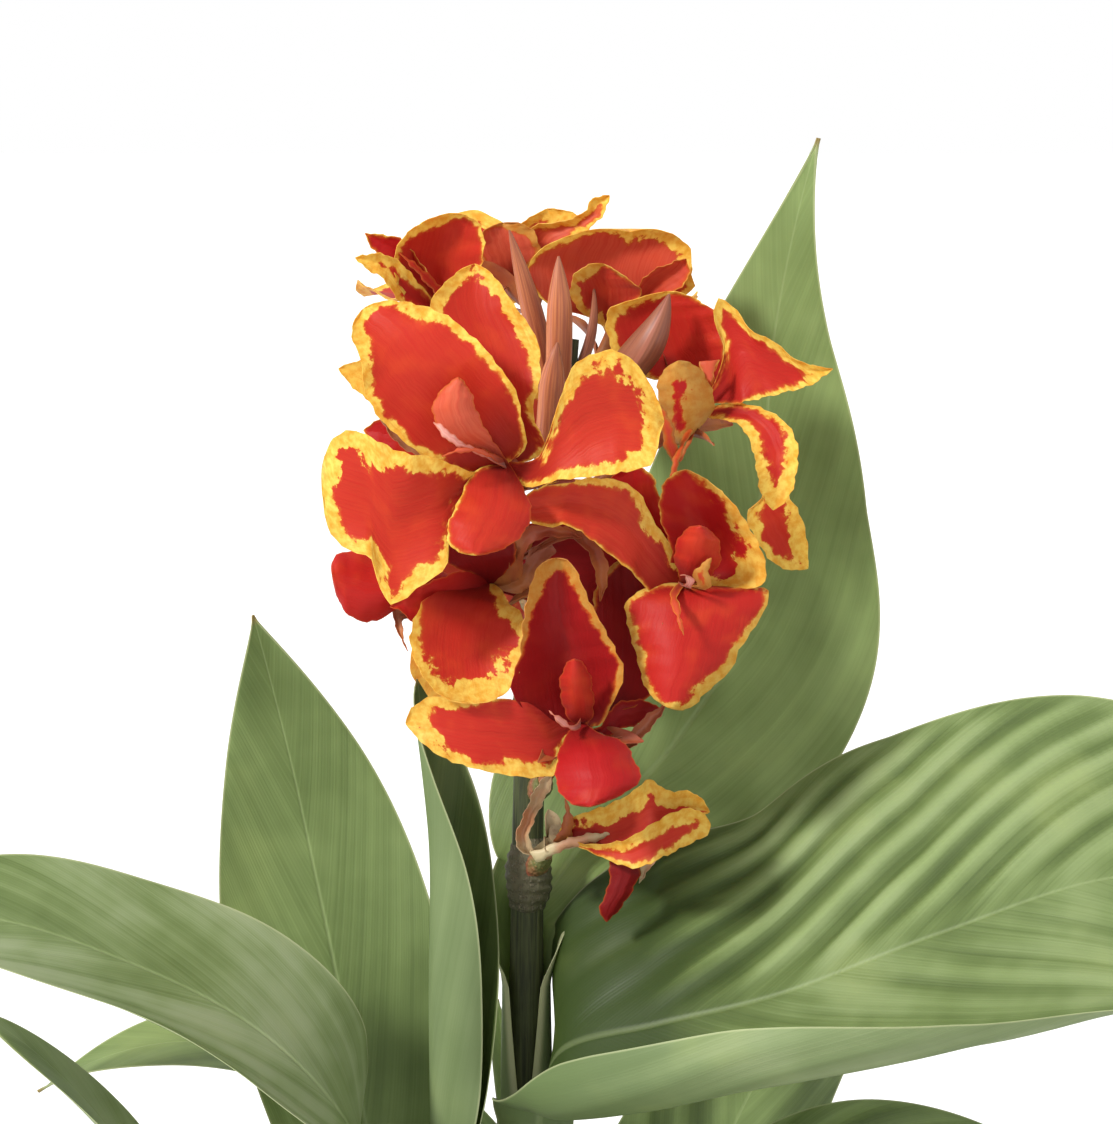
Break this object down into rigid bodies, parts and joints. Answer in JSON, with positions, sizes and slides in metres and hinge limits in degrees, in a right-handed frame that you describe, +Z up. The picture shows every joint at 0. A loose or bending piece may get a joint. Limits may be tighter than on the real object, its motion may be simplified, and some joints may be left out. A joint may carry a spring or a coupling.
{
  "type": "potted canna lily plant",
  "caption": "Canna lily in flower: red blooms edged in yellow on an upright spike over broad sheathing green leaves, in a round terracotta pot filled with soil.",
  "frame": {"origin": "centre of the pot's underside, on the surface that the pot stands on", "axes": "+Z up along the pot's axis; the side of the plant that the picture shows faces -Y, with +X to its right"},
  "size_m": [0.4922, 0.3127, 0.6602],
  "materials": {
    "fired_clay": "matt unglazed terracotta",
    "soil": "rough, crumbly, slightly damp",
    "stem": "satin green stem, reddish-brown buds",
    "leaf": "satin pleated leaf with a pale midrib",
    "petal": "soft velvety petal, red with an irregular yellow edge"
  },
  "bodies": {
    "root": {"pot": "fired_clay", "soil": "soil", "flowering_stem": "stem", "left_shoot": "stem", "back_shoot": "stem", "leaf_right_front": "leaf", "leaf_right_rear": "leaf", "leaf_right_low": "leaf", "leaf_left_rear": "leaf", "leaf_left_front": "leaf", "leaf_left_low": "leaf", "leaf_rolled": "leaf", "leaf_back_right": "leaf", "leaf_back_left": "leaf", "leaf_back_small": "leaf", "bloom_front": "petal", "bloom_low_front": "petal", "bloom_right": "petal", "bloom_upper_right": "petal", "bloom_upper_back": "petal", "bloom_top": "petal", "bloom_upper_left": "petal", "bloom_left_low": "petal", "bloom_spent": "petal", "bloom_back": "petal", "bloom_back_low": "petal"}
  },
  "joints": []
}
